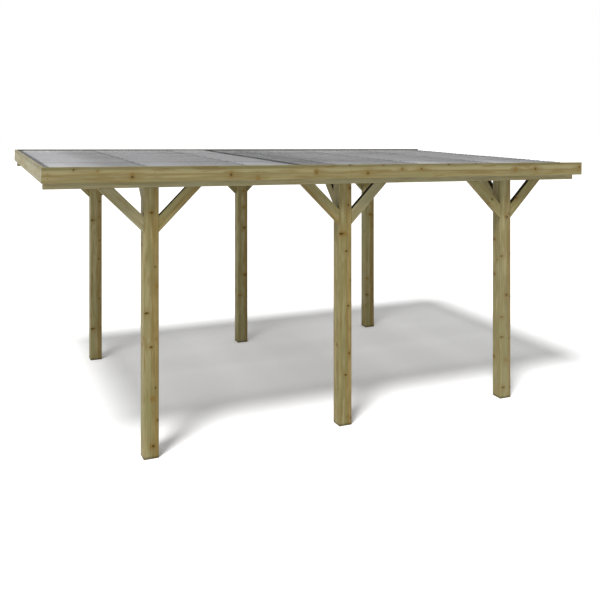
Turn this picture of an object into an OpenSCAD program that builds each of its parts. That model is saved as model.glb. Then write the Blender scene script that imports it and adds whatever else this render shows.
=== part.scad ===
// Timber carport on six posts, with a low roof of corrugated plastic sheets.
// The roof falls from its closed end (-X) to its drip end (+X), and its front is at -Y.

/* [Posts] */
// Side of each square post
post_side = 120; // [90:1:140]
// Width of the eased edge along each post
post_arris = 4; // [1:0.5:8]
// Distance between posts along the roof, centre to centre
bay_length = 1690; // [1400:10:2000]
// Distance between the two rows of posts, centre to centre
row_spacing = 2710; // [2200:10:3200]

/* [Roof frame] */
// Height of the beams' underside at mid length
headroom = 2090; // [1900:10:2400]
// Fall of the roof towards the drip end, in degrees
roof_fall = 1; // [0.5:0.1:3]
// Width of the long beams
beam_width = 45; // [38:1:60]
// Depth of the long beams
beam_depth = 70; // [60:1:140]
// Width of the rafters
rafter_width = 45; // [38:1:60]
// Depth of the rafters
rafter_depth = 70; // [60:1:120]
// Length of beam beyond the centre of each end post
end_overhang = 810; // [600:10:1000]
// Length of rafter beyond the outer face of each beam
side_overhang = 85; // [60:2.5:200]

/* [Braces] */
// Width of each knee brace
brace_width = 45; // [38:1:60]
// Depth of each knee brace, square to its length
brace_depth = 90; // [60:1:120]
// Reach of each brace down the post and along the timber that it props
brace_reach = 350; // [280:10:450]

/* [Fascia] */
// Thickness of the fascia boards
fascia_thickness = 20; // [16:1:28]
// Depth of the fascia boards
fascia_depth = 120; // [100:1:160]
// Height of the fascia's top edge above the rafters
fascia_upstand = 32; // [28:1:50]

/* [Roof sheets] */
// Distance from one corrugation to the next
wave_pitch = 76; // [60:1:100]
// Height of the corrugations over the outside
wave_height = 18; // [12:1:20]
// Thickness of the sheets, measured upright
sheet_thickness = 1.2; // [0.8:0.1:2]
// Length of the sheets of the upper course
upper_sheet_length = 2140; // [1500:10:3000]
// Overlap of the upper course over the lower one
end_lap = 110; // [80:5:200]
// Overlap of neighbouring sheets, in whole corrugations
side_lap_waves = 1; // [1:1:2]
// Length of sheet past the last rafter, at the drip end
drip_overhang = 10; // [5:1:18]
// Least gap between the sheets and the boards beside them
sheet_edge_gap = 2; // [1:1:10]
// Gap between a sheet and what it lies on
sheet_seat_gap = 0.2; // [0.1:0.05:0.3]

/* [Hidden] */
// Names and signs along Y of the two rows, and along X of the posts in a row
ROWS = [["front", -1], ["back", 1]];
PLACES = [["left", -1], ["middle", 0], ["right", 1]];
// Names and signs along X of the two braces that lie along a row
SIDES = [["left", -1], ["right", 1]];
// Names of the two courses of sheets, and how many layers of the other course each lies on
COURSES = [["upper", 2], ["lower", 0]];
SHEET_COUNT = 4;

// Middle lines of the rafters: one flush with each end, one over each post and one at each mid bay
beam_length = 2 * (bay_length + end_overhang);
end_rafter_x = (beam_length - rafter_width) / 2;
RAFTER_X = concat([-end_rafter_x], [for (half_bay = [-2 : 2]) half_bay * bay_length / 2], [end_rafter_x]);

function post_name(row, place) = str("post_", row[0], "_", place[0]);
function beam_name(row) = str("beam_", row[0]);
function rafter_name(i) = str("rafter_", i + 1);
function brace_name(row, place, side) = str("brace_", row[0], "_", place[0], "_", side[0]);
function cross_brace_name(row, place) = str("brace_", row[0], "_", place[0], "_inner");
function fascia_name(row) = str("fascia_", row[0]);
function sheet_name(course, i) = str("sheet_", course[0], "_", i + 1);

POST_COLOUR = [0.55, 0.50, 0.34];
FRAME_COLOUR = [0.50, 0.46, 0.31];
FASCIA_COLOUR = [0.57, 0.52, 0.37];
SHEET_COLOUR = [0.68, 0.69, 0.71, 0.7];

// Levels in the roof's own frame, up from the beams' underside
rafter_top = beam_depth + rafter_depth;
fascia_top = rafter_top + fascia_upstand;
fascia_bottom = fascia_top - fascia_depth;
fascia_middle = (fascia_top + fascia_bottom) / 2;

outer_face = (row_spacing + post_side) / 2;
rafter_length = 2 * (outer_face + side_overhang);
fascia_length = beam_length + 2 * fascia_thickness;

// The corrugations are straight facets on one grid across the roof, so that lapped sheets nest
wave_steps = 12;
step_width = wave_pitch / wave_steps;
field_steps = SHEET_COUNT * floor((rafter_length - 2 * sheet_edge_gap) / (SHEET_COUNT * step_width));
lap_steps = side_lap_waves * wave_steps;
sheet_steps = (field_steps + (SHEET_COUNT - 1) * lap_steps) / SHEET_COUNT;
layer = sheet_thickness + sheet_seat_gap;
closed_edge = -beam_length / 2 + sheet_edge_gap;
lap_edge = closed_edge + upper_sheet_length;
drip_edge = beam_length / 2 + drip_overhang;

// Height above the ground, at x, of a plane of the roof
function roof_height(level, x) =
    headroom + fascia_middle + (level - fascia_middle) / cos(roof_fall) - x * tan(roof_fall);

// Point of the corrugated line, i grid steps from the crest along the roof's middle, raised by lift
function wave_point(i, lift) = [
    i * step_width,
    (wave_height - sheet_thickness) * (1 + cos(360 * i / wave_steps)) / 2 + lift
];

// The roof's own frame leans about the middle of the fascia, with level 0 at the beams' underside
module on_roof() {
    translate([0, 0, headroom + fascia_middle])
        rotate([0, roof_fall, 0])
            translate([0, 0, -fascia_middle])
                children();
}

// The space above one level of the roof
module above(level) {
    on_roof()
        translate([-beam_length, -rafter_length, level])
            cube([2 * beam_length, 2 * rafter_length, headroom]);
}

module beam_blank(row_sign) {
    on_roof()
        translate([0, row_sign * (outer_face - beam_width / 2), beam_depth / 2])
            cube([beam_length, beam_width, beam_depth], center = true);
}

// Square timber with its four long edges eased
module post_outline() {
    intersection() {
        square(post_side, center = true);
        rotate(45)
            square(sqrt(2) * (post_side - post_arris), center = true);
    }
}

// A post stands on the ground, is notched at the top for its beam and reaches the rafter behind the notch
module post(row_sign, place_sign) {
    x = place_sign * bay_length;
    color(POST_COLOUR)
        difference() {
            translate([x, row_sign * row_spacing / 2, 0])
                linear_extrude(roof_height(rafter_top, x))
                    post_outline();
            above(beam_depth);
            beam_blank(row_sign);
        }
}

module beam(row_sign) {
    color(FRAME_COLOUR)
        beam_blank(row_sign);
}

module rafter(x) {
    color(FRAME_COLOUR)
        on_roof()
            translate([x, 0, beam_depth + rafter_depth / 2])
                cube([rafter_width, rafter_length, rafter_depth], center = true);
}

// Brace at 45 degrees seen from its side: foot plumb on the post's face, head run past the timber above
module brace_outline(direction, head) {
    plumb_cut = brace_depth * sqrt(2);
    excess = plumb_cut;
    polygon([
        [0, head - brace_reach],
        [direction * (brace_reach + excess), head + excess],
        [direction * (brace_reach - plumb_cut + excess), head + excess],
        [0, head - brace_reach + plumb_cut]
    ]);
}

// Brace along a row, under the beam and flush with it
module brace(row_sign, place_sign, direction) {
    face = place_sign * bay_length + direction * post_side / 2;
    color(FRAME_COLOUR)
        difference() {
            translate([face, row_sign * (outer_face - brace_width / 2), 0])
                rotate([90, 0, 0])
                    linear_extrude(brace_width, center = true)
                        brace_outline(direction, roof_height(0, face));
            above(0);
        }
}

// Brace across the roof, from the post's inner face to the rafter over that post
module cross_brace(row_sign, place_sign) {
    x = place_sign * bay_length;
    color(FRAME_COLOUR)
        difference() {
            translate([x, row_sign * (outer_face - post_side), 0])
                rotate([90, 0, 90])
                    linear_extrude(brace_width, center = true)
                        brace_outline(-row_sign, roof_height(beam_depth, x));
            above(beam_depth);
        }
}

// Long board across the rafters' ends
module fascia(row_sign) {
    color(FASCIA_COLOUR)
        on_roof()
            translate([0, row_sign * (rafter_length + fascia_thickness) / 2, fascia_middle])
                cube([fascia_length, fascia_thickness, fascia_depth], center = true);
}

// Board across the closed end, between the two long ones
module fascia_end() {
    color(FASCIA_COLOUR)
        on_roof()
            translate([-(beam_length + fascia_thickness) / 2, 0, fascia_middle])
                cube([fascia_thickness, rafter_length, fascia_depth], center = true);
}

// Corrugated sheet: every second one lies over its neighbours, and the upper course over the lower
module sheet(is_upper, layers_below, i) {
    first = i * (sheet_steps - lap_steps) - field_steps / 2;
    last = first + sheet_steps;
    start = is_upper ? closed_edge : lap_edge - end_lap;
    end = is_upper ? lap_edge : drip_edge;
    lift = sheet_seat_gap + layer * (layers_below + i % 2);
    color(SHEET_COLOUR)
        on_roof()
            translate([start, 0, rafter_top + lift])
                rotate([90, 0, 90])
                    linear_extrude(end - start)
                        polygon(concat(
                            [for (k = [first : last]) wave_point(k, 0)],
                            [for (k = [last : -1 : first]) wave_point(k, sheet_thickness)]
                        ));
}

for (row = ROWS, place = PLACES)
    post(row[1], place[1]);
for (row = ROWS)
    beam(row[1]);
for (i = [0 : len(RAFTER_X) - 1])
    rafter(RAFTER_X[i]);
for (row = ROWS, place = PLACES, side = SIDES)
    brace(row[1], place[1], side[1]);
for (row = ROWS, place = PLACES)
    cross_brace(row[1], place[1]);
for (row = ROWS)
    fascia(row[1]);
fascia_end();
for (course = COURSES, i = [0 : SHEET_COUNT - 1])
    sheet(course[0] == "upper", course[1], i);
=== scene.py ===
"""Timber carport with a translucent corrugated roof, seen from the front left."""

import math
import random

import bmesh
import bpy
from mathutils import Euler, Matrix, Vector


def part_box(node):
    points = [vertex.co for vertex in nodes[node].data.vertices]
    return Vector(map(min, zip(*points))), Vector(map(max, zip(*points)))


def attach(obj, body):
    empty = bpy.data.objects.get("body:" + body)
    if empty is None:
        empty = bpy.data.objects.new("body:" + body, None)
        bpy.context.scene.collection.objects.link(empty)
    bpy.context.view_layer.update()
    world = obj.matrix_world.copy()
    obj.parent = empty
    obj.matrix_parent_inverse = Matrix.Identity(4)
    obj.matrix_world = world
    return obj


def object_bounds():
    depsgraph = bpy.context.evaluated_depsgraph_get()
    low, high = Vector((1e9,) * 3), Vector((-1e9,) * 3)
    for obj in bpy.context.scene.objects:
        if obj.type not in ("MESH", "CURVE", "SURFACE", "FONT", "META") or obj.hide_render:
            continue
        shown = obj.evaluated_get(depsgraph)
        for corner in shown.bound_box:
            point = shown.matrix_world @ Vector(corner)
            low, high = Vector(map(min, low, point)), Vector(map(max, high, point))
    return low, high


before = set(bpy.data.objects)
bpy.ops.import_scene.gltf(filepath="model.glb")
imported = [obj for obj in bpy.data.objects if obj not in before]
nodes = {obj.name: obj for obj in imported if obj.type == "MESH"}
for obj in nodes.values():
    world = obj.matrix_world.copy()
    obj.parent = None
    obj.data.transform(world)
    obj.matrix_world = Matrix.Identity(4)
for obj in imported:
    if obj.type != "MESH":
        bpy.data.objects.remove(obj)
cad_low, cad_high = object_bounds()

MM = 0.001
X, Y, Z = Vector((1, 0, 0)), Vector((0, 1, 0)), Vector((0, 0, 1))

# The roof falls along +X by this angle, as the long boards show
ROOF_FALL = math.radians(1)
DOWN_ROOF = X * math.cos(ROOF_FALL) - Z * math.sin(ROOF_FALL)
UP_FROM_ROOF = DOWN_ROOF.cross(Y)

# Sign along Y of each row of posts
ROWS = {"front": -1, "back": 1}
PLACES = ("left", "middle", "right")
RAFTERS = [f"rafter_{i}" for i in range(1, 8)]
SHEETS = sorted(name for name in nodes if name.startswith("sheet"))

# The camera stands level, with its lens shifted down, so that uprights stay upright
CAMERA_PLACE = Vector((-3.0724, -7.5885, 2.7103))
CAMERA_TURN = math.radians(23.1845)
SENSOR_WIDTH = 36.0
PHOTO_SIDE = 600
FOCAL_PIXELS = 796.77
HORIZON_PIXEL = 111.89

# Directions in which the light travels: the sun's is that of the photographed shadow
SUN_TRAVEL = Vector((0.79, 0.80, -2.2))
SUN_SPREAD = math.radians(13)
SUN_STRENGTH = 2.9
FILL_TRAVEL = Vector((1.0, 0.45, -0.15))
FILL_SPREAD = math.radians(80)
FILL_STRENGTH = 0.5
SKY_STRENGTH = 0.35

# The floor throws light back as a grey one, and where it is seen it is white and glows a little
WHITE = (1.0, 1.0, 1.0)
FLOOR_GREY = (0.8, 0.8, 0.8)
FLOOR_GLOW = 0.095
FLOOR_SIDE = 120.0

# Colours of treated softwood, in linear light
SAP_PALE = (0.36, 0.313, 0.158)
SAP_DEEP = (0.225, 0.19, 0.07)
HEART_PALE = (0.29, 0.215, 0.075)
HEART_DEEP = (0.205, 0.14, 0.038)
GREEN_TINT = (0.24, 0.23, 0.092)
BLOTCH = (0.205, 0.142, 0.04)
KNOT_GLOW = (0.205, 0.126, 0.024)
KNOT_CORE = (0.055, 0.036, 0.009)
END_GRAIN = (0.16, 0.115, 0.05)
BLEACHED = (0.43, 0.42, 0.31)
# Dark brown painted as shade on the braces' tops and at the posts' feet, and used for the darker top of the
# fascias
SHADE_AND_DARKENING = (0.028, 0.024, 0.012)

# Colours of the roof sheets: clean, and darker where painted shade falls towards each rafter and where dust
# lies; of the dirt and painted shade on them; and of the fixings
UPPER_SHEET = ((0.40, 0.40, 0.41), (0.33, 0.33, 0.335))
LOWER_SHEET = ((0.275, 0.275, 0.28), (0.225, 0.225, 0.228))
DIRT_AND_SHADE = (0.02, 0.02, 0.02)
YELLOW_ZINC = (0.27, 0.22, 0.11)
# Share of the light that the sheets stop, and that they stop under the dust at each edge of the roof
SHEET_ALPHA = 0.52
EDGE_ALPHA = {"front": 0.76, "back": 0.97, "closed": 0.56, "drip": 0.74}
# How far that dust reaches in from the edges
DUST_REACH = 0.6
# Painted line of shade up-roof of each rafter, where the rafter shows through: how far off the rafter's
# middle, and how much of its shade it keeps
RAFTER_SHADE_LINE_OFFSET = 22 * MM
RAFTER_SHADE_LINE_FACTOR = 0.68

# How each kind of timber is sawn:
#   pith: place of the pith off the middle of the section
#   varies: how far from that place the pith may lie
#   heart: radius of the heartwood
#   band: radius at which a pale band ends in a dark one
#   figure: how fine the figure is along the grain and across it, and how soft
#   knotty: share of places on the stem that have a knot
#   girth: least and largest radius of the knots, in mm
#   bleached: how far light has bleached the timber
#   tone: how light the timber is; the beam's is raised as painted light, against the shade that the fascia
#       throws on it
SAWN = {
    "post": {"pith": (0.045, -0.03), "varies": 0.008, "heart": 0.046, "band": 0.3, "figure": (5, 32, 0.26),
             "knotty": 0.6, "girth": (11, 24), "bleached": 0.0, "tone": 1.0},
    # The beam's tone is painted light that lifts it out of the shade under the fascia
    "beam": {"pith": (0.05, 0.03), "varies": 0.015, "heart": 0.03, "band": 0.3, "figure": (3, 60, 0.26),
             "knotty": 0.3, "girth": (7, 16), "bleached": 0.25, "tone": 1.2},
    "rafter": {"pith": (0.05, 0.03), "varies": 0.015, "heart": 0.04, "band": 0.08, "figure": (3, 60, 0.26),
               "knotty": 0.3, "girth": (7, 16), "bleached": 0.0, "tone": 1.0},
    "brace": {"pith": (0.05, 0.03), "varies": 0.015, "heart": 0.06, "band": 0.3, "figure": (5, 45, 0.26),
              "knotty": 0.3, "girth": (7, 20), "bleached": 0.0, "tone": 1.0},
    "fascia": {"pith": (0.05, 0.09), "varies": 0.003, "heart": 0.05, "band": 0.115,
               "figure": (2.5, 60, 0.4), "knotty": 0.7, "girth": (8, 24), "bleached": 0.03, "tone": 1.0},
}
# What single timbers have unlike the rest of their kind
UNLIKE = {
    "fascia_end": {"figure": (3, 60, 0.3), "girth": (8, 25), "bleached": 0.33},
    "post_front_middle": {"heart": 0.056, "figure": (5, 32, 0.18)},
    "post_front_right": {"figure": (5, 32, 0.18), "bleached": 0.08, "tone": 1.03},
    "post_back_right": {"tone": 1.1},
    "brace_front_left_left": {"bleached": 0.28},
    "brace_front_left_right": {"heart": 0.065},
    "brace_front_middle_left": {"heart": 0.085},
    "brace_front_middle_right": {"bleached": 0.19},
}
# Which draw of grain a timber shows, where it isn't the first
GRAIN_DRAW = {"fascia_front": 4, "post_front_left": 2, "post_front_middle": 14, "post_front_right": 12}
RING_WIDTH = 5 * MM
# How far the pith wanders, how ragged the edge of the heartwood is, and how far rings bulge beside a knot
WANDER = 0.02
RAGGED = 0.03
BULGE = 7 * MM
# Spacing of the places for knots along the stem, and round it, and the least radius of their cores
KNOT_STEP = 0.2
KNOT_TURN = 1.0
LEAST_CORE = 9 * MM
# Waves of each noise in a metre, along the grain and across it
WAVES = {"wander": (0.7, 4.0, 4.0), "streak": (2.5, 170.0, 170.0), "patch": (1.3, 9.0, 9.0),
         "blotch": (4.5, 32.0, 32.0)}
# How far each feature of the wood hides the colour under it
COVER = {"green": 0.55, "heart": 0.85, "pale_band": 0.65, "dark_band": 0.5, "outer_wood": 0.18,
         "blotch": 0.7, "swell": 0.5, "ring": 0.2, "glow": 0.85, "core": 0.9, "end_grain": 0.5}

# Width of the timbers' eased edges, and the angle from which an edge between faces is shaded sharp
EASED_EDGE = 2.5 * MM
SHARP_ANGLE = math.radians(40)
# Corners of loaded faces that are nearer than this are one
MERGE_DISTANCE = 0.01 * MM

# Places of fixings: screws beside the middle line of a rafter's end and along the board across the roof
BOARD_THICKNESS = 20 * MM
BOARD_SCREWS = (-18 * MM, 18 * MM)
END_BOARD_SCREWS = (-1.3, -0.65, 0.0, 0.65, 1.3)
# Screws from the foot and the head of a brace
FOOT_SCREW = 55 * MM
HEAD_SCREW = 75 * MM
# Coach screws beside the middle line of a post, and below its top
COACH_SCREWS = (-41 * MM, 41 * MM)
COACH_SCREW_DROP = 38 * MM
# Crests of the roof sheets that have a cap, counted from the roof's middle line
WAVE_PITCH = 76 * MM
CAPPED_CRESTS = range(-18, 19, 3)


class Graph:
    """Short calls for building a node tree."""

    def __init__(self, tree):
        self.tree = tree
        tree.nodes.clear()

    def add(self, kind, inputs=None, **settings):
        node = self.tree.nodes.new(kind)
        for name, value in settings.items():
            setattr(node, name, value)
        for name, value in (inputs or {}).items():
            self.feed(node.inputs[name], value)
        return node

    def feed(self, socket, value):
        if isinstance(value, bpy.types.NodeSocket):
            self.tree.links.new(value, socket)
        else:
            socket.default_value = value

    def math(self, operation, *values, clamp=False):
        node = self.add("ShaderNodeMath", operation=operation, use_clamp=clamp)
        for socket, value in zip(node.inputs, values):
            self.feed(socket, value)
        return node.outputs[0]

    def vector(self, operation, *values):
        node = self.add("ShaderNodeVectorMath", operation=operation)
        for socket, value in zip(node.inputs, values):
            self.feed(socket, value)
        return node.outputs["Value" if operation in ("DOT_PRODUCT", "LENGTH") else "Vector"]

    def apart(self, value, other):
        return self.math("ABSOLUTE", self.math("SUBTRACT", value, other))

    def split(self, vector):
        return self.add("ShaderNodeSeparateXYZ", {"Vector": vector}).outputs

    def join(self, x, y, z=0.0):
        return self.add("ShaderNodeCombineXYZ", {"X": x, "Y": y, "Z": z}).outputs[0]

    def fit(self, value, low, high, to_low=0.0, to_high=1.0, style="SMOOTHSTEP"):
        node = self.add("ShaderNodeMapRange", interpolation_type=style)
        for name, number in (("Value", value), ("From Min", low), ("From Max", high),
                             ("To Min", to_low), ("To Max", to_high)):
            self.feed(node.inputs[name], number)
        return node.outputs[0]

    def blend(self, factor, first, second):
        node = self.add("ShaderNodeMix", data_type="RGBA")
        # The inputs of a colour mix are numbers 0, 6 and 7 of those that the node has for all kinds
        for number, value in ((0, factor), (6, first), (7, second)):
            self.feed(node.inputs[number], (*value, 1.0) if isinstance(value, tuple) else value)
        return node.outputs[2]

    def shade(self, colour, factor):
        """The colour made darker or lighter by a factor."""
        return self.vector("MULTIPLY", colour, self.join(factor, factor, factor))

    def noise(self, place, stretch, detail=2.0, roughness=0.5):
        node = self.add("ShaderNodeTexNoise", {
            "Vector": self.vector("MULTIPLY", place, stretch), "Scale": 1.0, "Detail": detail,
            "Roughness": roughness})
        return node.outputs


def new_material(name):
    material = bpy.data.materials.new(name)
    material.use_nodes = True
    return material, Graph(material.node_tree)


def end_material(g, kind, inputs):
    """Ends a material in one shader of a kind, with these inputs."""
    shader = g.add(kind, inputs)
    g.add("ShaderNodeOutputMaterial", {"Surface": shader.outputs[0]})


def wear(node, material):
    """Gives a CAD node one material all over."""
    node.data.materials.clear()
    node.data.materials.append(material)


def middle(name):
    low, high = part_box(name)
    return (low + high) / 2


def grain_frame(name):
    """Axes of a timber as rows: along the grain, across it, and square to both."""
    words = name.split("_")
    if words[0] == "post":
        along, across = Z, X
    elif words[0] == "rafter" or name == "fascia_end":
        along, across = Y, -X
    elif words[-1] == "inner":
        along, across = Z - Y * ROWS[words[1]], X
    elif words[0] == "brace":
        along, across = Z + X * (-1 if words[-1] == "left" else 1), Y
    else:
        along, across = DOWN_ROOF, Y
    along = along.normalized()
    return Matrix((along, across, along.cross(across)))


def knots(g, along, arc, turn, seed, sawn):
    """How far a point is in a knot's core, in the stained wood round it and in the swollen grain there.

    Each knot is a rod about a line out of the pith, at one place along and round the stem. Most are small,
    and most have a dark core. Arc is the length that a turn of one radian has at the point.
    """
    cell = g.join(g.math("DIVIDE", along, KNOT_STEP), g.math("DIVIDE", turn, KNOT_TURN))
    cell = g.vector("ADD", cell, seed)
    cells = g.add("ShaderNodeTexVoronoi", {"Vector": cell, "Scale": 1.0, "Randomness": 0.85},
                  voronoi_dimensions="2D")
    chance, girth, darkness = g.split(cells.outputs["Color"])
    off = g.vector("SUBTRACT", cell, cells.outputs["Position"])
    off = g.vector("MULTIPLY", off, g.join(KNOT_STEP, g.math("MULTIPLY", arc, KNOT_TURN)))
    stretched = g.vector("MULTIPLY", off, (0.4, 1.0, 0.0))
    small, large = sawn["girth"]
    girth = g.fit(girth, 0.45, 0.8, small * MM, large * MM)
    kept = g.math("LESS_THAN", chance, sawn["knotty"])
    dark = g.math("MULTIPLY", kept, g.fit(darkness, 0.15, 0.45))
    near = g.vector("LENGTH", off)
    width = g.math("MAXIMUM", LEAST_CORE, g.math("MULTIPLY", girth, 0.5))
    core = g.math("MULTIPLY", dark, g.fit(g.math("DIVIDE", near, width), 1.0, 0.45))
    glow = g.math("MULTIPLY", kept, g.fit(g.math("DIVIDE", near, girth), 1.3, 0.7))
    swell = g.fit(g.math("DIVIDE", g.vector("LENGTH", stretched), girth), 2.4, 0.5)
    return core, glow, g.math("MULTIPLY", kept, swell)


def grain(g, name, sawn, local, pith, seed):
    """Features of the wood at a point: its knots, rings, figure and stains."""
    spot = g.vector("ADD", local, seed)
    # The stem is never quite straight, so the pith wanders
    wander = g.vector("SUBTRACT", g.noise(spot, WAVES["wander"])["Color"], (0.5, 0.5, 0.5))
    wander = g.vector("MULTIPLY", wander, (0.0, WANDER, WANDER))
    along, across, upright = g.split(g.vector("SUBTRACT", g.vector("ADD", local, wander), pith))
    radius = g.vector("LENGTH", g.join(0.0, across, upright))
    turn = g.math("ARCTAN2", upright, across)
    arc = radius
    if name.startswith("fascia"):
        # Knots that leave a board at a slant are drawn round on its broad faces
        slant = g.math("DIVIDE", radius, g.math("ABSOLUTE", across))
        arc = g.math("MULTIPLY", radius, g.math("POWER", slant, 0.8))
    core, glow, swell = knots(g, along, arc, turn, seed, sawn)

    radius = g.math("MULTIPLY_ADD", swell, BULGE, radius)
    ring = g.math("FRACT", g.math("DIVIDE", radius, RING_WIDTH))
    lengthwise, crosswise, soft = sawn["figure"]
    round_stem = g.vector("ADD", g.join(along, radius), seed)
    years = g.noise(round_stem, (0.2, 0.75 * crosswise, 1.0), 3.0, 0.6)[0]
    figure = g.noise(spot, (lengthwise, crosswise, crosswise), 4.0)[0]
    return {
        "radius": radius, "core": core, "glow": glow, "swell": swell,
        "ring": g.math("MULTIPLY", g.fit(ring, 0.1, 0.8), g.fit(ring, 1.0, 0.9)),
        "years": g.fit(g.math("ADD", years, figure), 1 - soft, 1 + soft),
        "streak": g.noise(spot, WAVES["streak"])[0],
        "patch": g.noise(g.vector("ADD", spot, seed), WAVES["patch"])[0],
        "blotch": g.noise(g.vector("SUBTRACT", spot, seed), WAVES["blotch"], 3.0)[0],
    }


def wood_colour(g, sawn, wood):
    """Colour that the wood has by itself, from its features."""
    sap = g.blend(wood["years"], SAP_PALE, SAP_DEEP)
    sap = g.blend(g.fit(wood["patch"], 0.42, 0.66, 0.0, COVER["green"]), sap, GREEN_TINT)
    heart = g.blend(wood["years"], HEART_PALE, HEART_DEEP)
    ragged = g.math("MULTIPLY_ADD", g.math("SUBTRACT", wood["patch"], 0.5), RAGGED, wood["radius"])
    inside = g.fit(ragged, sawn["heart"] + 6 * MM, sawn["heart"] - 6 * MM, 0.0, COVER["heart"])
    colour = g.blend(inside, sap, heart)

    beyond = g.math("SUBTRACT", wood["radius"], sawn["band"])
    pale = g.math("MULTIPLY", g.fit(beyond, -32 * MM, -22 * MM), g.fit(beyond, -5 * MM, -11 * MM))
    colour = g.blend(g.math("MULTIPLY", pale, COVER["pale_band"]), colour, SAP_PALE)
    dark = g.fit(g.math("ABSOLUTE", beyond), 9 * MM, 2 * MM, 0.0, COVER["dark_band"])
    outer = g.math("MULTIPLY", g.fit(beyond, 0.0, 4 * MM, 0.0, COVER["outer_wood"]),
                   g.fit(beyond, 90 * MM, 20 * MM))
    colour = g.blend(g.math("MAXIMUM", outer, dark), colour, HEART_DEEP)

    swell = g.math("MULTIPLY", wood["swell"], COVER["swell"])
    stain = g.math("MAXIMUM", g.fit(wood["blotch"], 0.5, 0.68, 0.0, COVER["blotch"]), swell)
    colour = g.blend(stain, colour, BLOTCH)
    for feature, tint in (("ring", HEART_DEEP), ("glow", KNOT_GLOW), ("core", KNOT_CORE)):
        colour = g.blend(g.math("MULTIPLY", wood[feature], COVER[feature]), colour, tint)
    return colour


def painted_shade_and_darkening(g, name, place, local, normal, patch):
    """How far a timber is darkened: painted shade on the tops of the braces, a darker top on the fascias,
    and painted shade at the foot of the posts.
    """
    kind = name.split("_")[0]
    if kind == "brace":
        # Painted shade: the upward faces of the braces, under the beam and the roof, are darkened almost to
        # black
        return g.fit(g.split(normal)[2], 0.5, 0.69, 0.0, 0.95)
    if kind == "fascia":
        inside = -middle(name)
        inside.z = 0
        inward = g.vector("DOT_PRODUCT", normal, inside.normalized())
        edge = g.math("MULTIPLY_ADD", patch, 12 * MM, g.split(local)[2])
        return g.math("MULTIPLY", g.fit(edge, 38 * MM, 46 * MM), g.fit(inward, 0.3, 0.8, 0.27, 0.8))
    if kind == "post":
        # Painted shade at the foot of each post, where it meets the floor
        return g.fit(g.split(place)[2], 30 * MM, 4 * MM, 0.0, 0.6)
    return 0.0


def timber(name, draw):
    """Planed softwood: rings about a pith, heartwood, and knots that grow out of the pith."""
    material, g = new_material(f"timber_{name}")
    sawn = {**SAWN[name.split("_")[0]], **UNLIKE.get(name, {})}
    axes = grain_frame(name)
    pith = Vector((0, *(at + draw.uniform(-1, 1) * sawn["varies"] for at in sawn["pith"])))
    seed = Vector(draw.uniform(-40, 40) for _ in range(3))
    place = g.add("ShaderNodeTexCoord").outputs["Object"]
    local = g.add("ShaderNodeMapping", {
        "Vector": place, "Rotation": axes.to_euler(), "Location": -(axes @ middle(name))}).outputs[0]
    wood = grain(g, name, sawn, local, pith, seed)
    streak, patch = wood["streak"], wood["patch"]

    colour = wood_colour(g, sawn, wood)
    normal = g.add("ShaderNodeNewGeometry").outputs["Normal"]
    end = g.math("ABSOLUTE", g.vector("DOT_PRODUCT", normal, axes[0]))
    colour = g.blend(g.fit(end, 0.85, 0.98, 0.0, COVER["end_grain"]), colour, END_GRAIN)
    tone = sawn["tone"]
    # The beam's raised tone is painted light, against the shade under the fascia
    colour = g.shade(colour, g.fit(streak, 0.3, 0.7, 0.86 * tone, 1.12 * tone, "LINEAR"))
    if sawn["bleached"]:
        bleached = g.fit(patch, 0.3, 0.7, 0.5 * sawn["bleached"], 1.5 * sawn["bleached"])
        colour = g.blend(bleached, colour, BLEACHED)
    # Painted shade on the braces' tops and at the posts' feet, and the darker top of the fascias
    shade_and_darkening = painted_shade_and_darkening(g, name, place, local, normal, patch)
    colour = g.blend(shade_and_darkening, colour, SHADE_AND_DARKENING)

    relief = g.math("MULTIPLY_ADD", wood["ring"], 0.5, g.math("MULTIPLY_ADD", streak, 0.6, wood["core"]))
    bump = g.add("ShaderNodeBump", {"Strength": 0.4, "Distance": 0.6 * MM, "Height": relief})
    # Where the painted shade lies, the sheen is taken away too
    dull = g.math("MAXIMUM", wood["core"], shade_and_darkening)
    end_material(g, "ShaderNodeBsdfPrincipled", {
        "Base Color": colour, "Normal": bump.outputs[0],
        "Roughness": g.fit(streak, 0.3, 0.7, 0.55, 0.72, "LINEAR"),
        "Specular IOR Level": g.fit(dull, 0.0, 1.0, 0.3, 0.02, "LINEAR")})
    return material


def joined_mesh(name, smooth):
    """Geometry nodes that join the loaded faces along their edges and set how they are shaded."""
    group = bpy.data.node_groups.new(name, "GeometryNodeTree")
    for direction in ("INPUT", "OUTPUT"):
        group.interface.new_socket("Geometry", in_out=direction, socket_type="NodeSocketGeometry")
    g = Graph(group)
    shape = g.add("NodeGroupInput").outputs[0]
    shape = g.add("GeometryNodeMergeByDistance", {"Geometry": shape, "Distance": MERGE_DISTANCE}).outputs[0]
    shape = g.add("GeometryNodeRemoveAttribute", {"Geometry": shape, "Name": "custom_normal"}).outputs[0]
    shape = g.add("GeometryNodeSetShadeSmooth", {"Geometry": shape, "Shade Smooth": smooth}).outputs[0]
    angle = g.add("GeometryNodeInputMeshEdgeAngle").outputs[0]
    sharp = g.add("FunctionNodeCompare", operation="GREATER_THAN")
    g.feed(sharp.inputs[0], angle)
    g.feed(sharp.inputs[1], SHARP_ANGLE)
    shape = g.add("GeometryNodeSetShadeSmooth", {
        "Geometry": shape, "Selection": sharp.outputs[0], "Shade Smooth": False}, domain="EDGE").outputs[0]
    g.add("NodeGroupOutput", {"Geometry": shape})
    return group


def dress_timbers():
    """Gives every timber a wood of its own and eased edges."""
    joined = joined_mesh("joined_flat_faces", False)
    for name in sorted(nodes):
        if name in SHEETS:
            continue
        node = nodes[name]
        wear(node, timber(name, random.Random(f"{name} {GRAIN_DRAW.get(name, 1)}")))
        node.modifiers.new("joined", "NODES").node_group = joined
        bevel = node.modifiers.new("eased_edges", "BEVEL")
        bevel.width = EASED_EDGE
        bevel.segments = 2
        bevel.limit_method = "ANGLE"


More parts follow.
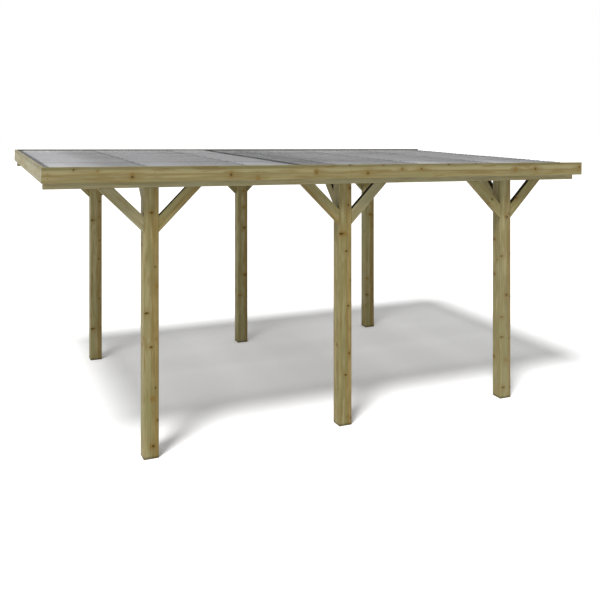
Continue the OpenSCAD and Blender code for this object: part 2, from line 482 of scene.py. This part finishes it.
def sheet_plastic(name, greys, tone, lit_past_rafter, dirt_and_shade_lines):
    """Grey translucent sheet that painted shade and dust darken towards each rafter, and that dims towards
    the roof's edges.

    Tone is how much of its shade it keeps along X: from and to one place and another. The lightening past
    each rafter at the front is painted light, and its number is how much lighter the sheet is there. Dirt
    is lines across the roof, some of
    them also painted shade: their place along X, half their width, and how thick they are.
    """
    material, g = new_material(name)
    place = g.add("ShaderNodeTexCoord").outputs["Object"]
    x, y, _ = g.split(place)
    spacing = middle("rafter_5").x
    bay = g.math("FRACT", g.math("ADD", g.math("DIVIDE", x, spacing), 10.0))
    cloud = g.noise(place, (1.2, 3.0, 3.0), 4.0)[0]
    fine = g.noise(place, (2.0, 40.0, 40.0))[0]
    # Painted shade: the sheet grows darker towards the next rafter, whose side shows through it, in clouds
    # of dust
    rafter_shade_and_dust = g.math("MULTIPLY", g.fit(bay, 0.2, 0.95), g.fit(cloud, 0.3, 0.7, 0.75, 1.1))
    colour = g.blend(rafter_shade_and_dust, *greys)
    colour = g.shade(colour, g.fit(x, *tone))
    # Painted light: past each rafter near the front the sheet is lighter, as if lit from the floor below
    painted_light_past_rafter = g.math("MULTIPLY", g.fit(y, -0.4, -1.1), g.fit(bay, 0.45, 0.2))
    colour = g.shade(colour, g.fit(painted_light_past_rafter, 0.0, 1.0, 1.0, lit_past_rafter, "LINEAR"))
    colour = g.shade(colour, g.fit(fine, 0.3, 0.7, 0.96, 1.04, "LINEAR"))
    # A painted line of shade over the up-roof edge of each rafter
    for rafter in RAFTERS:
        apart = g.apart(x, middle(rafter).x - RAFTER_SHADE_LINE_OFFSET)
        colour = g.shade(colour, g.fit(apart, 15 * MM, 7 * MM, 1.0, RAFTER_SHADE_LINE_FACTOR))
    low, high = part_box("sheet_upper_1")[0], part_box("sheet_lower_4")[1]
    edges = {"front": (y, low.y), "back": (y, high.y), "closed": (x, low.x), "drip": (x, high.x)}
    film = SHEET_ALPHA
    for edge, (along, at) in edges.items():
        dusty = g.fit(g.apart(along, at), DUST_REACH, 0.0, SHEET_ALPHA, EDGE_ALPHA[edge])
        film = g.math("MAXIMUM", dusty, film)
    # Lines of dirt across the roof; those at the closed end and in the lap are also painted shade
    dirt_and_shade = 0.0
    for at, half, thick in dirt_and_shade_lines:
        dirt_and_shade = g.math("MAXIMUM", g.fit(g.apart(x, at), half + 8 * MM, half, 0.0, thick), dirt_and_shade)
    end_material(g, "ShaderNodeBsdfPrincipled", {
        "Base Color": g.blend(dirt_and_shade, colour, DIRT_AND_SHADE), "Alpha": g.fit(dirt_and_shade, 0.0, 1.0, film, 1.0, "LINEAR"),
        "Roughness": g.fit(cloud, 0.3, 0.7, 0.3, 0.45),
        "Specular IOR Level": g.fit(dirt_and_shade, 0.0, 1.0, 0.4, 0.0, "LINEAR")})
    return material


def dress_sheets():
    """Painted shade and dust lie towards the up-roof side of each rafter; dirt with painted shade at the
    sheets' closed end and in their lap, and dirt at the drip end.
    """
    rounded = joined_mesh("joined_round_faces", True)
    closed, lap = (corner.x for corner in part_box("sheet_upper_1"))
    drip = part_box("sheet_lower_1")[1].x
    # At the closed end and in the lap the dark lines are dirt with painted shade, of the end board and of
    # the lap's step
    upper = sheet_plastic("upper_sheets", UPPER_SHEET, (closed + 0.3, closed + 0.6, 1.0, 0.72), 1.18,
                          [(closed, 50 * MM, 0.7), (lap, 70 * MM, 0.92)])
    lower = sheet_plastic("lower_sheets", LOWER_SHEET, (lap + 0.45, lap + 0.95, 0.68, 0.96), 1.4,
                          [(lap, 16 * MM, 0.92), (drip - 0.1, 80 * MM, 0.25), (drip, 25 * MM, 0.85)])
    for name in SHEETS:
        wear(nodes[name], upper if "upper" in name else lower)
        nodes[name].modifiers.new("joined", "NODES").node_group = rounded
    return upper, lower


def dull_metal(name, colour):
    material, g = new_material(name)
    place = g.add("ShaderNodeTexCoord").outputs["Object"]
    stain = g.noise(place, (300.0, 300.0, 300.0), 3.0)[0]
    stained = tuple(0.7 * c for c in colour)
    end_material(g, "ShaderNodeBsdfPrincipled", {
        "Base Color": g.blend(g.fit(stain, 0.35, 0.7), colour, stained), "Metallic": 0.85,
        "Roughness": g.fit(stain, 0.3, 0.7, 0.5, 0.65)})
    return material


def facing(point, outward, side=None):
    """Matrix that puts a fixing at a point, with its own Z outward."""
    side = (side or (X if abs(outward.x) < 0.7 else Z)).cross(outward).normalized()
    turned = Matrix((side, outward.cross(side), outward)).transposed()
    return Matrix.Translation(point) @ turned.to_4x4()


def lathe(shape, place, profile, sides):
    """Adds a closed turned form: profile is its radius and height from the rim to the middle."""
    rings = []
    for radius, height in profile:
        ring = []
        for i in range(sides):
            angle = 2 * math.pi * i / sides
            point = Vector((radius * math.cos(angle), radius * math.sin(angle), height))
            ring.append(shape.verts.new(place @ point))
        rings.append(ring)
    for lower, upper in zip(rings, rings[1:]):
        for i in range(sides):
            j = (i + 1) % sides
            shape.faces.new((lower[i], lower[j], upper[j], upper[i]))
    shape.faces.new(rings[-1])
    shape.faces.new(reversed(rings[0]))


def screw_head(shape, place):
    """Raised countersunk head with a hexagonal recess."""
    rim, socket = 5 * MM, 2 * MM
    lathe(shape, place, ((rim, -1 * MM), (rim, 0.3 * MM), (0.8 * rim, 1.2 * MM), (1.2 * socket, 1.7 * MM),
                         (socket, 1.7 * MM), (socket, 0.4 * MM)), 12)


def coach_screw(shape, place):
    """Hexagonal head on a round washer."""
    lathe(shape, place, ((12 * MM, -0.5 * MM), (12 * MM, 1.5 * MM), (11 * MM, 2 * MM)), 20)
    lathe(shape, place, ((8 * MM, 1.5 * MM), (8 * MM, 6.5 * MM), (6.5 * MM, 7.5 * MM)), 6)


def sheet_cap(shape, place):
    """Domed sealing cap of a roof screw."""
    lathe(shape, place, ((9 * MM, -4 * MM), (9 * MM, 0.2 * MM), (8 * MM, 1.5 * MM), (5 * MM, 2.8 * MM),
                         (2 * MM, 3.2 * MM)), 14)


def fixings(name, make, places, material):
    """One piece that holds all the fixings of a kind."""
    shape = bmesh.new()
    for place in places:
        make(shape, place)
    bmesh.ops.recalc_face_normals(shape, faces=shape.faces)
    mesh = bpy.data.meshes.new(name)
    shape.to_mesh(mesh)
    shape.free()
    mesh.materials.append(material)
    piece = bpy.data.objects.new(name, mesh)
    bpy.context.scene.collection.objects.link(piece)
    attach(piece, "root")


def fascia_places():
    """Two screws at each rafter's end, and into the ends and the length of the board across."""
    places = []
    for rafter in RAFTERS:
        centre = middle(rafter)
        for row, sign in ROWS.items():
            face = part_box(f"fascia_{row}")[0 if sign < 0 else 1].y
            for up in BOARD_SCREWS:
                at = centre + UP_FROM_ROOF * up
                places.append(facing(Vector((at.x, face, at.z)), Y * sign))
    board, centre = middle("fascia_end"), middle("rafter_1")
    for across in END_BOARD_SCREWS:
        for up in BOARD_SCREWS:
            slide = (up + centre.z - board.z) * math.tan(ROOF_FALL)
            at = Vector((board.x - BOARD_THICKNESS / 2 + slide, across, centre.z + up))
            places.append(facing(at, -DOWN_ROOF))
    return places


def brace_places():
    """One screw near each end of every brace, on its sloping underside."""
    places = []
    for name in sorted(nodes):
        if not name.startswith("brace"):
            continue
        low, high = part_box(name)
        axes = grain_frame(name)
        lean = Vector((axes[0].x, axes[0].y, 0)).normalized()
        reach = abs((high - low).dot(lean))
        foot = middle(name) - lean * reach / 2
        foot.z = low.z
        under = (lean - Z).normalized()
        length = reach * math.sqrt(2)
        for along in (FOOT_SCREW, length - HEAD_SCREW):
            places.append(facing(foot + axes[0] * along, under))
    return places


def post_places():
    """Two coach screws through the top of each post into its beam, from the inside."""
    places = []
    for row, sign in ROWS.items():
        for place in PLACES:
            post = f"post_{row}_{place}"
            low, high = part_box(post)
            face = low.y if sign > 0 else high.y
            for side in COACH_SCREWS:
                at = Vector(((low.x + high.x) / 2 + side, face, high.z - COACH_SCREW_DROP))
                places.append(facing(at, Y * -sign))
    return places


def roof_top(x, y):
    """Point of the uppermost sheet over one place."""
    above = Vector((x, y, cad_high.z + 1))
    hits = []
    for name in SHEETS:
        found, point, _, _ = nodes[name].ray_cast(above, -Z)
        if found:
            hits.append(point)
    return max(hits, key=lambda point: point.z)


def cap_places(rafters):
    """A roof screw on every third crest over each of these rafters."""
    places = []
    for rafter in rafters:
        for crest in CAPPED_CRESTS:
            places.append(facing(roof_top(middle(rafter).x, crest * WAVE_PITCH), UP_FROM_ROOF, Y))
    return places


def add_fixings(upper_plastic, lower_plastic):
    zinc = dull_metal("yellow_zinc", YELLOW_ZINC)
    fixings("fascia_screws", screw_head, fascia_places(), zinc)
    fixings("brace_screws", screw_head, brace_places(), zinc)
    fixings("post_screws", coach_screw, post_places(), zinc)
    fixings("upper_roof_caps", sheet_cap, cap_places(RAFTERS[:3]), upper_plastic)
    fixings("lower_roof_caps", sheet_cap, cap_places(RAFTERS[3:]), lower_plastic)


def seen_or_mirrored(g):
    """1 for rays that see the background straight on, in a reflection or through a clear piece."""
    path = g.add("ShaderNodeLightPath").outputs
    total = g.math("ADD", path["Is Camera Ray"], path["Is Glossy Ray"])
    return g.math("ADD", total, path["Is Transmission Ray"], clamp=True)


def make_floor():
    bpy.ops.mesh.primitive_plane_add(size=FLOOR_SIDE)
    floor = bpy.context.object
    floor.name = "floor"
    material, g = new_material("pale_floor")
    seen = seen_or_mirrored(g)
    end_material(g, "ShaderNodeBsdfPrincipled", {
        "Base Color": g.blend(seen, FLOOR_GREY, WHITE), "Roughness": 1.0, "Specular IOR Level": 0.0,
        "Emission Color": (*WHITE, 1.0),
        "Emission Strength": g.fit(seen, 0.0, 1.0, 0.0, FLOOR_GLOW, "LINEAR")})
    floor.data.materials.append(material)


def make_sun(name, travel, spread, strength):
    lamp = bpy.data.lights.new(name, "SUN")
    lamp.energy = strength
    lamp.angle = spread
    sun = bpy.data.objects.new(name, lamp)
    sun.rotation_euler = travel.to_track_quat("-Z", "Y").to_euler()
    bpy.context.scene.collection.objects.link(sun)


def make_light():
    world = bpy.data.worlds.new("studio")
    bpy.context.scene.world = world
    world.use_nodes = True
    g = Graph(world.node_tree)
    strength = g.fit(seen_or_mirrored(g), 0.0, 1.0, SKY_STRENGTH, 1.0, "LINEAR")
    sky = g.add("ShaderNodeBackground", {"Color": (*WHITE, 1.0), "Strength": strength})
    output = g.add("ShaderNodeOutputWorld")
    g.feed(output.inputs["Surface"], sky.outputs[0])
    make_sun("sun", SUN_TRAVEL, SUN_SPREAD, SUN_STRENGTH)
    make_sun("fill", FILL_TRAVEL, FILL_SPREAD, FILL_STRENGTH)


def make_camera():
    lens = bpy.data.cameras.new("camera")
    lens.sensor_width = SENSOR_WIDTH
    lens.lens = FOCAL_PIXELS / PHOTO_SIDE * SENSOR_WIDTH
    lens.shift_y = (HORIZON_PIXEL - PHOTO_SIDE / 2) / PHOTO_SIDE
    camera = bpy.data.objects.new("camera", lens)
    camera.location = CAMERA_PLACE
    camera.rotation_euler = Euler((math.radians(90), 0, -CAMERA_TURN))
    bpy.context.scene.collection.objects.link(camera)
    bpy.context.scene.camera = camera


make_camera()
make_light()
make_floor()
dress_timbers()
add_fixings(*dress_sheets())

bpy.context.scene.view_settings.view_transform = "Standard"
